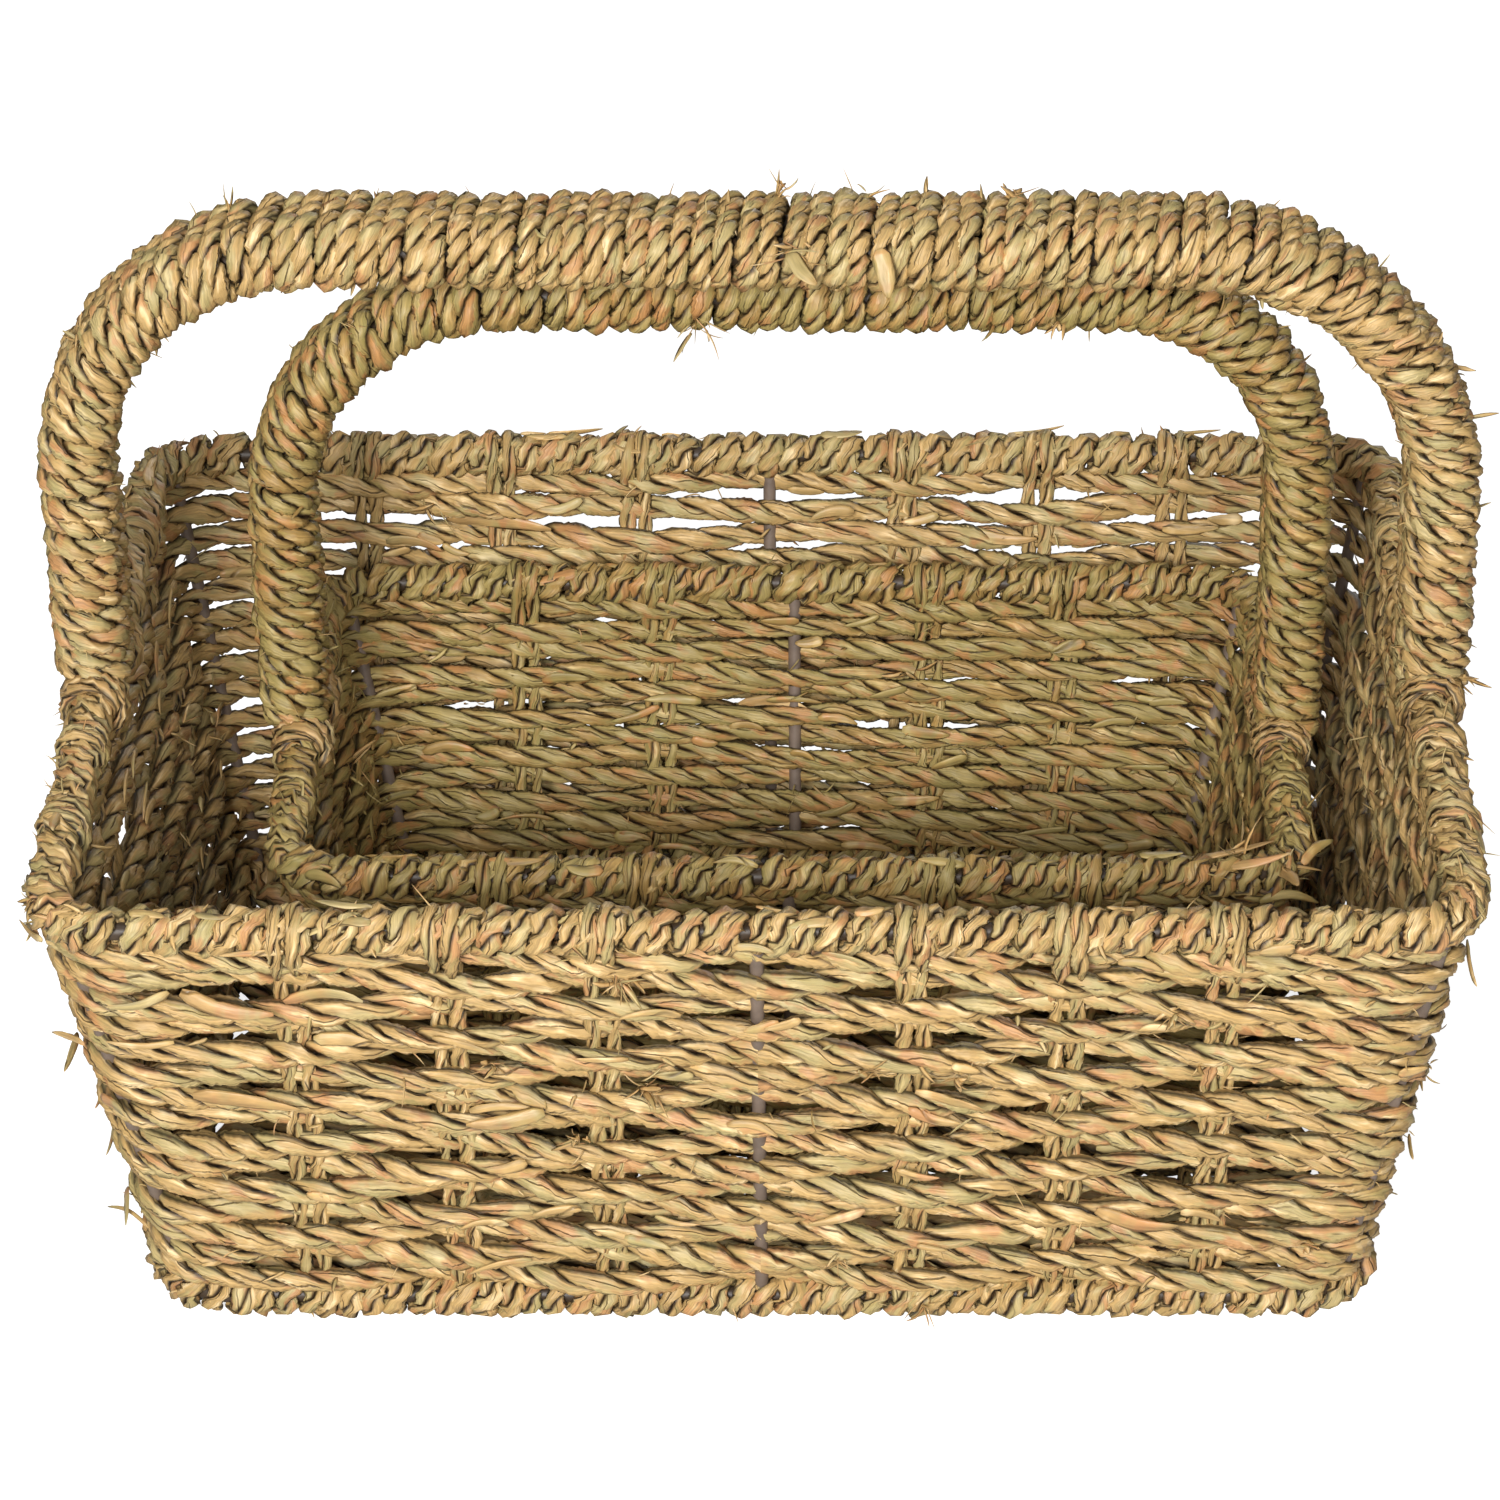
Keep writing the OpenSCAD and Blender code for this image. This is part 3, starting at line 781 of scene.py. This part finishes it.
class BASKET_OT_rings(EachBasket, Operator):
    """Wind cord round the rim and base wires"""
    bl_idname = "basket.rings"
    bl_label = "Rim and base wraps"

    def make(self, basket, index):
        name = basket.name
        made = CordMesh(300 + index)
        wrap_ring(made, basket, basket.rim_half, basket.rim_z, basket.rim_roll, basket.wire)
        made.piece(name + "_rim_cord", basket, SLOT[name], name + "_rim_wrap")
        made = CordMesh(310 + index)
        made.lowest = float(basket.box("base_wrap")[0][2])
        wrap_ring(made, basket, basket.base_half, basket.base_z, basket.base_roll, basket.wire)
        made.piece(name + "_base_cord", basket, SLOT[name], name + "_base_wrap")


def stadium(offset, radius, count):
    """Points and outward normals round a slot shape: first axis outward, second along Y."""
    straight = 2 * offset
    total = 2 * straight + 2 * math.pi * radius
    s = (np.arange(count) / count * total + offset) % total
    points, normals = np.zeros((count, 2)), np.zeros((count, 2))
    start = 0.0
    for turn in (0, 1):
        sign = 1 - 2 * turn
        on = (s >= start) & (s < start + straight)
        points[on] = np.stack([np.full(on.sum(), sign * radius),
                               sign * (s[on] - start - offset)], 1)
        normals[on] = (sign, 0)
        start += straight
        on = (s >= start) & (s < start + math.pi * radius)
        a = (s[on] - start) / radius
        normals[on] = np.stack([sign * np.cos(a), sign * np.sin(a)], 1)
        points[on] = np.array([0, sign * offset]) + radius * normals[on]
        start += math.pi * radius
    return points, normals


class BASKET_OT_handles(EachBasket, Operator):
    """Wind cord round both rods of each handle"""
    bl_idname = "basket.handles"
    bl_label = "Handle wraps"

    def make(self, basket, index):
        name = basket.name
        points, out, s, total = hoop_line(basket, 0.0004)
        pitch = sizes().grip_pitch
        turns = int(round(total / pitch))
        thick = (basket.grip - basket.rod) / 2
        ring, ring_out = stadium(basket.rod_offset, basket.rod + thick, GRIP_POINTS)
        halves = 2
        for half in range(halves):
            made = CordMesh(400 + 10 * index + half)
            first, last = half * turns // halves, (half + 1) * turns // halves
            samples = (last - first) * len(ring)
            rng = made.rng
            t = np.arange(samples) + first * len(ring)
            at = t / (turns * len(ring)) * total
            jitter = 0.19 * pitch * wander(rng, samples, 19, False)[:, 0]
            fade = np.clip(np.minimum(np.arange(samples), np.arange(samples)[::-1]) / 20, 0, 1)
            at = np.clip(at + jitter * fade, 0, total)
            pick = np.clip(np.round(at / total * (len(s) - 1)).astype(int), 0, len(s) - 1)
            slot = t % len(ring)
            bulge = 1 + 0.03 * wander(rng, samples, 17, False)[:, 0] * fade
            side = np.array([0.0, 1.0, 0.0])
            path = (points[pick] + out[pick] * (ring[slot, :1] * bulge[:, None])
                    + side * (ring[slot, 1:] * bulge[:, None]))
            ray = out[pick] * ring_out[slot, :1] + side * ring_out[slot, 1:]
            made.cord(path, ray, thick * 1.08, GRIP_TWIST, flat=0.95, sides=10, rough=0.09)
            nodes = [name + "_handle_wrap"] if half == 0 else []
            made.piece("%s_grip_cord_%d" % (name, half + 1), basket, SLOT[name], *nodes)


class BASKET_OT_lashings(EachBasket, Operator):
    """Tie the handle feet to the rims"""
    bl_idname = "basket.lashings"
    bl_label = "Lashings"

    def make(self, basket, index):
        name = basket.name
        for side, label in ((-1, "left"), (1, "right")):
            made = CordMesh(500 + 10 * index + side)
            rng = made.rng
            for end in (-1, 1):
                t = np.linspace(0, 1, TIE_TURNS * TIE_POINTS)
                inner_edge = basket.rod_offset + basket.rod * 0.2
                y = end * (inner_edge + (basket.lashing / 2 - inner_edge) * t)
                a = 2 * math.pi * TIE_TURNS * t + rng.uniform(0, 6)
                reach = basket.rim_roll + 0.0016 + 0.0006 * wander(rng, len(t), 9, False)[:, 0]
                ray = np.stack([side * np.cos(a), 0 * a, np.sin(a)], 1)
                hub = np.array([basket.centre[0] + side * basket.rim_half[0], basket.centre[1],
                                basket.rim_z])
                path = hub + ray * reach[:, None]
                path[:, 1] += y
                made.cord(path, ray, TIE_RADIUS, TIE_TWIST, flat=0.8, sides=7, taper=0.01,
                          rough=0.12)
            made.piece("%s_foot_tie_%s" % (name, label), basket, "brown_lashing",
                       "%s_lashing_%s" % (name, label))


class BASKET_OT_floors(EachBasket, Operator):
    """Weave the floors over and under cords that cross from wall to wall"""
    bl_idname = "basket.floors"
    bl_label = "Woven floors"

    def make(self, basket, index):
        name = basket.name
        made = CordMesh(600 + index)
        rng = made.rng
        radius = row_cord(basket) / 2
        level = (basket.floor_low + basket.floor_high) / 2
        long_half, short_half = basket.base_half - basket.base_roll - 0.0005
        count = int(2 * short_half / (2.1 * radius))
        places = [n * PAIR_PITCH for n in range(-basket.pairs[0], basket.pairs[0] + 1)]
        for row in range(count + 1):
            y = -short_half + radius + (2 * short_half - 2 * radius) * row / count
            reach = long_half
            if row in (0, count):
                reach = long_half - (basket.corner - basket.base_roll)
            x = np.arange(-reach, reach, FLOOR_STEP)
            sign = 1 if row % 2 else -1
            swing = sign * 0.0017 * np.cos(math.pi * x / PAIR_PITCH)
            drift = 0.0006 * wander(rng, len(x), 14, False)[:, 0]
            path = np.stack([x, y + drift, level + swing], 1)
            path[:, :2] += basket.centre[:2]
            out = np.tile(UP, (len(x), 1))
            made.cord(path, out, radius, sizes().twist, sides=7, taper=0.004)
        for place in places:
            for cord in (-1, 1):
                y = np.arange(-short_half, short_half, FLOOR_STEP)
                x = place + cord * PAIR_GAP + 0 * y
                path = np.stack([x, y, level + 0 * y], 1)
                path[:, :2] += basket.centre[:2]
                out = np.tile(UP, (len(y), 1))
                made.cord(path, out, sizes().upright_cord / 2, 0.017, sides=6, taper=0.004)
        made.piece(name + "_floor_rows", basket, SLOT[name], name + "_woven_floor")


def skin_spot(basket, rng, kinds=("rim", "wall", "inside", "handle", "base"),
              shares=(0.16, 0.28, 0.26, 0.24, 0.06)):
    """A random place on the rim, walls, base or handle, with the directions out of and along
    the cords there."""
    kind = rng.choice(kinds, p=shares)
    if kind == "handle":
        points, out, s, _ = hoop_line(basket, 0.002)
        i = rng.integers(len(s))
        a = rng.uniform(0, 2 * math.pi)
        y = basket.rod_offset * np.sign(math.sin(a)) * rng.uniform(0, 1)
        ray = out[i] * math.cos(a) + np.array([0, math.sin(a), 0])
        ahead = unit(points[min(i + 1, len(s) - 1)] - points[max(i - 1, 0)])
        place = points[i] + ray * basket.grip * 0.93 + np.array([0, y, 0])
        return place, ray, np.cross(ahead, ray)
    z = {"rim": basket.rim_z, "base": basket.base_z}.get(
        kind, rng.uniform(basket.wall_low, basket.wall_high))
    points, normals, s, _ = ring_line(basket.half_at(z), basket.corner, 0.003)
    i = rng.integers(len(s))
    out = np.append(normals[i], 0.0)
    place = np.append(points[i] + basket.centre[:2], z)
    if kind in ("wall", "inside"):
        ray = out if kind == "wall" else -out
        place = place + ray * 0.0052
    else:
        a = rng.uniform(-0.6, 2.2) if kind == "rim" else rng.uniform(-0.2, 0.8)
        ray = out * math.cos(a) + UP * math.sin(a)
        place = place + ray * (basket.rim_roll if kind == "rim" else basket.base_roll) * 0.93
    return place, ray, np.cross(UP, out)


def fray(made, start, out, along, length, width):
    """One fibre or torn end that leaves the cords at start and curls back."""
    rng = made.rng
    way = unit(out * rng.uniform(0.15, 0.55) + along * rng.uniform(-1, 1)
               + UP * rng.uniform(-0.6, 0.4))
    curl = unit(rng.normal(size=3)) * rng.uniform(0.4, 1.2)
    t = np.linspace(0, 1, 6)[:, None]
    path = start + length * (way * t + curl * t * t * 0.5) - out * 0.001
    normal = unit(np.cross(np.gradient(path, axis=0), rng.normal(size=3)))
    made.blade(path, normal, width, min(width, 0.0005))


def leaf(made, start, out, way, length, width):
    """A wide torn blade that lies on the cords along way and lifts at its far end."""
    rng = made.rng
    t = np.linspace(0, 1, 9)[:, None]
    sway = np.cross(out, way) * rng.uniform(-0.14, 0.14)
    path = start + length * (way * t + sway * np.sin(3 * t)
                             + out * rng.uniform(0.02, 0.14) * t * t) + out * 0.0008
    tilt = unit(out + np.cross(way, out) * rng.uniform(-0.5, 0.5))
    made.blade(path, np.tile(tilt, (len(t), 1)), width, 0.0011, 8)


class BASKET_OT_fibres(EachBasket, Operator):
    """Fray the cords with loose fibres and torn blades"""
    bl_idname = "basket.fibres"
    bl_label = "Loose fibres"

    def make(self, basket, index):
        name = basket.name
        made = CordMesh(700 + index)
        made.lowest = float(basket.box("base_wrap")[0][2])
        rng = made.rng
        share = 1.0 if name == "outer" else 0.6
        for _ in range(int(sizes().fibres * share)):
            place, out, along = skin_spot(basket, rng)
            length = rng.uniform(0.002, 0.006) * rng.choice([1, 1, 1, 1.5])
            fray(made, place, out, along, length, rng.choice([0.0004, 0.0007, 0.0014]))
        for _ in range(int(sizes().torn_blades * share)):
            place, out, along = skin_spot(basket, rng, ("wall", "inside", "rim"),
                                          (0.40, 0.48, 0.12))
            way = unit(along * rng.choice([-1, 1]) + UP * rng.uniform(-0.35, 0.1))
            leaf(made, place, out, way, rng.uniform(0.008, 0.019), rng.uniform(0.002, 0.0042))
        made.piece(name + "_fibres", basket, SLOT[name])


# Where cord ends stick out in a bunch: place in millimetres, direction out, size, blades.
TUFTS = {
    "outer": (
        ((8.5, -17, 294), (0.1, -0.8, 0.6), 10, 16), ((29, 10, 299), (0.2, 0.2, 1), 9, 9),
        ((6, 8, 299), (0, 0.1, 1), 6, 10), ((72, 8, 299), (0, 0.1, 1), 6, 9),
        ((-150, 9, 294), (0.3, 0.1, 1), 5, 5), ((-194, -9, 262), (-1, -0.3, 0.3), 6, 10),
        ((-206, -12, 140), (-0.9, -0.5, 0), 7, 5), ((-201, -128, 148), (-1, -0.2, 0), 5, 9),
        ((206, -12, 152), (1, -0.4, 0), 7, 8), ((-38, -145, 134), (0, -1, 0.2), 8, 15),
        ((-32, -138, 92), (0, -1, 0), 8, 15), ((32, -139, 98), (0, -1, 0.2), 6, 10),
        ((-51, -134, 72), (0, -1, 0.3), 7, 12), ((55, -139, 96), (0, -1, 0), 5, 8),
        ((47, -124, 6), (0, -0.8, -0.4), 7, 8), ((23, -126, 24), (0, -1, -0.3), 6, 6),
        ((-74, -139, 100), (0, -1, 0.2), 6, 8), ((115, -142, 119), (0, -1, 0), 6, 8),
        ((157, -127, 30), (0, -1, 0), 6, 7), ((-108, 137, 132), (0.2, -1, -0.2), 12, 10)),
    "inner": (
        ((-18, 17, 252), (0, -0.8, -0.7), 9, 10), ((86, 17, 253), (0, -0.8, -0.4), 7, 8),
        ((140, -50, 114), (-0.2, 0.2, 1), 13, 14), ((152, -56, 112), (0.4, -0.3, 0.8), 12, 10),
        ((-118, 18, 252), (-0.3, -0.6, 0.7), 5, 7), ((45, 110, 80), (0, -1, 0.1), 9, 12),
        ((-60, 112, 96), (0, -1, 0), 6, 8), ((-130, 60, 80), (1, -0.2, 0.2), 9, 9)),
}

# Single torn blades: place in millimetres, direction out, direction along, length, width.
LEAVES = {
    "outer": (
        ((34, -18, 294), (0.1, -0.9, 0.5), (0.15, -0.35, -0.9), 14, 5.5),
        ((9, -18, 293), (0, -0.9, 0.5), (0.5, -0.4, -0.5), 12, 5),
        ((-158, -137, 90), (0, -1, -0.1), (1, 0, -0.12), 30, 5),
        ((-158, -145, 130), (0, -1, 0), (1, 0, -0.2), 26, 4.5),
        ((-130, -144, 126), (0, -1, 0), (1, 0, 0.05), 22, 4.5),
        ((-60, -137, 84), (0, -1, 0), (-1, 0, -0.1), 22, 4.5),
        ((96, -131, 46), (0, -1, 0), (1, 0, -0.2), 24, 5),
        ((44, -138, 92), (0, -1, 0), (1, 0, -0.25), 20, 4),
        ((-104, 136, 126), (0, -1, 0.1), (1, 0, -0.1), 34, 5.5),
        ((60, 136, 122), (0, -1, 0.1), (1, 0, -0.1), 26, 4.5)),
    "inner": (
        ((120, -52, 112), (0, 0, 1), (1, 0.15, 0.12), 30, 4),
        ((128, -56, 113), (0, 0, 1), (1, -0.1, 0.2), 26, 3.5),
        ((148, -54, 112), (0, 0, 1), (0.4, -1, 0.2), 18, 4),
        ((-10, 112, 70), (0, -1, 0), (1, 0, 0), 22, 4.5),
        ((40, 110, 52), (0, -1, 0), (-1, 0, -0.1), 24, 4.5)),
}


class BASKET_OT_knots(EachBasket, Operator):
    """Leave the frayed ends and torn blades where one cord was joined to the next"""
    bl_idname = "basket.knots"
    bl_label = "Frayed joins"

    def make(self, basket, index):
        name = basket.name
        made = CordMesh(800 + index)
        rng = made.rng
        for place, out, size, count in TUFTS[name]:
            start, out = np.array(place) / 1000, unit(np.array(out, float))
            along = unit(np.cross(out, UP + 0.01))
            for _ in range(count):
                spot = start + rng.normal(size=3) * size * 0.00016
                length = size * rng.uniform(0.0005, 0.0011)
                fray(made, spot, out, along, length, rng.choice([0.0004, 0.0008, 0.0018]))
        for place, out, way, length, width in LEAVES[name]:
            leaf(made, np.array(place) / 1000, unit(np.array(out, float)),
                 unit(np.array(way, float)), length / 1000, width / 1000)
        made.piece(name + "_frayed_joins", basket, "brown_lashing")


# Area lights: name, place and size in metres, and watts.
LIGHTS = (("key", (-0.35, -1.9, 1.12), 0.5, 52), ("fill", (0.45, -1.8, 1.0), 0.6, 16),
          ("top", (-0.2, 0.1, 1.9), 0.8, 6), ("back", (0.5, 1.9, 0.9), 0.8, 9))
CAMERA_PLACE = (0.0250, -1.335, 0.922)
CAMERA_DOWN = 31    # degrees below level


class BASKET_OT_stage(Operator):
    """Set up the pale floor, the soft studio lights and the camera"""
    bl_idname = "basket.stage"
    bl_label = "Stage"

    def execute(self, context):
        bpy.ops.mesh.primitive_plane_add(size=12, location=(0, 0, 0))
        floor = context.active_object
        floor.name = "floor"
        m = Nodes("studio_floor")
        m.shader.inputs["Base Color"].default_value = (0.60, 0.60, 0.60, 1)
        m.shader.inputs["Roughness"].default_value = 0.9
        m.shader.inputs["Emission Color"].default_value = (1, 1, 1, 1)
        m.join(m.maths("MULTIPLY", m.add("LightPath").outputs["Is Camera Ray"], 0.85),
               "Emission Strength")
        floor.data.materials.append(m.material)
        world = bpy.data.worlds.new("studio")
        world.use_nodes = True
        tree = world.node_tree
        sky = tree.nodes["Background"]
        sky.inputs["Color"].default_value = (1, 1, 1, 1)
        seen = tree.nodes.new("ShaderNodeLightPath").outputs["Is Camera Ray"]
        strength = tree.nodes.new("ShaderNodeMapRange")
        strength.inputs["To Min"].default_value = 0.04
        strength.inputs["To Max"].default_value = 1.0
        tree.links.new(seen, strength.inputs["Value"])
        tree.links.new(strength.outputs["Result"], sky.inputs["Strength"])
        context.scene.world = world
        for light in LIGHTS:
            self.light(*light)
        lens = bpy.data.cameras.new("camera")
        lens.lens = 124.8
        lens.sensor_width = 36
        camera = bpy.data.objects.new("camera", lens)
        context.scene.collection.objects.link(camera)
        camera.location = CAMERA_PLACE
        lens.shift_x = -0.0650
        camera.rotation_euler = (math.radians(90 - CAMERA_DOWN), 0, 0)
        lens.clip_start, lens.clip_end = 0.05, 30
        context.scene.camera = camera
        context.scene.view_settings.view_transform = "Standard"
        return {"FINISHED"}

    def light(self, name, place, size, power):
        data = bpy.data.lights.new(name, "AREA")
        data.size = size
        data.energy = power
        made = bpy.data.objects.new(name, data)
        bpy.context.scene.collection.objects.link(made)
        made.location = place
        aim = np.array([0, 0, 0.12]) - np.array(place)
        made.rotation_euler = (math.atan2(math.hypot(aim[0], aim[1]), -aim[2]), 0,
                               math.atan2(aim[1], aim[0]) - math.pi / 2)


STEPS = (BASKET_OT_stage, BASKET_OT_finishes, BASKET_OT_walls, BASKET_OT_uprights,
         BASKET_OT_rings, BASKET_OT_handles, BASKET_OT_lashings, BASKET_OT_floors,
         BASKET_OT_fibres, BASKET_OT_knots)


class BASKET_PT_weaver(Panel):
    """Sizes, colours and steps of the basket weaver"""
    bl_label = "Basket"
    bl_space_type = "VIEW_3D"
    bl_region_type = "UI"
    bl_category = "Basket"

    def draw(self, context):
        for group in (sizes(), colours()):
            for key in group.__annotations__:
                self.layout.prop(group, key)
        for step in STEPS:
            self.layout.operator(step.bl_idname)


CLASSES = (BasketSizes, BasketColours, BASKET_PT_weaver) + STEPS


def register():
    for item in CLASSES:
        bpy.utils.register_class(item)
    bpy.types.Scene.basket_sizes = PointerProperty(type=BasketSizes)
    bpy.types.Scene.basket_colours = PointerProperty(type=BasketColours)


def unregister():
    del bpy.types.Scene.basket_colours
    del bpy.types.Scene.basket_sizes
    for item in reversed(CLASSES):
        bpy.utils.unregister_class(item)


def main():
    register()
    bpy.ops.object.select_all(action="DESELECT")
    for step in STEPS:
        group, call = step.bl_idname.split(".")
        getattr(getattr(bpy.ops, group), call)()
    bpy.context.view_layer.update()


if __name__ == "__main__":
    main()
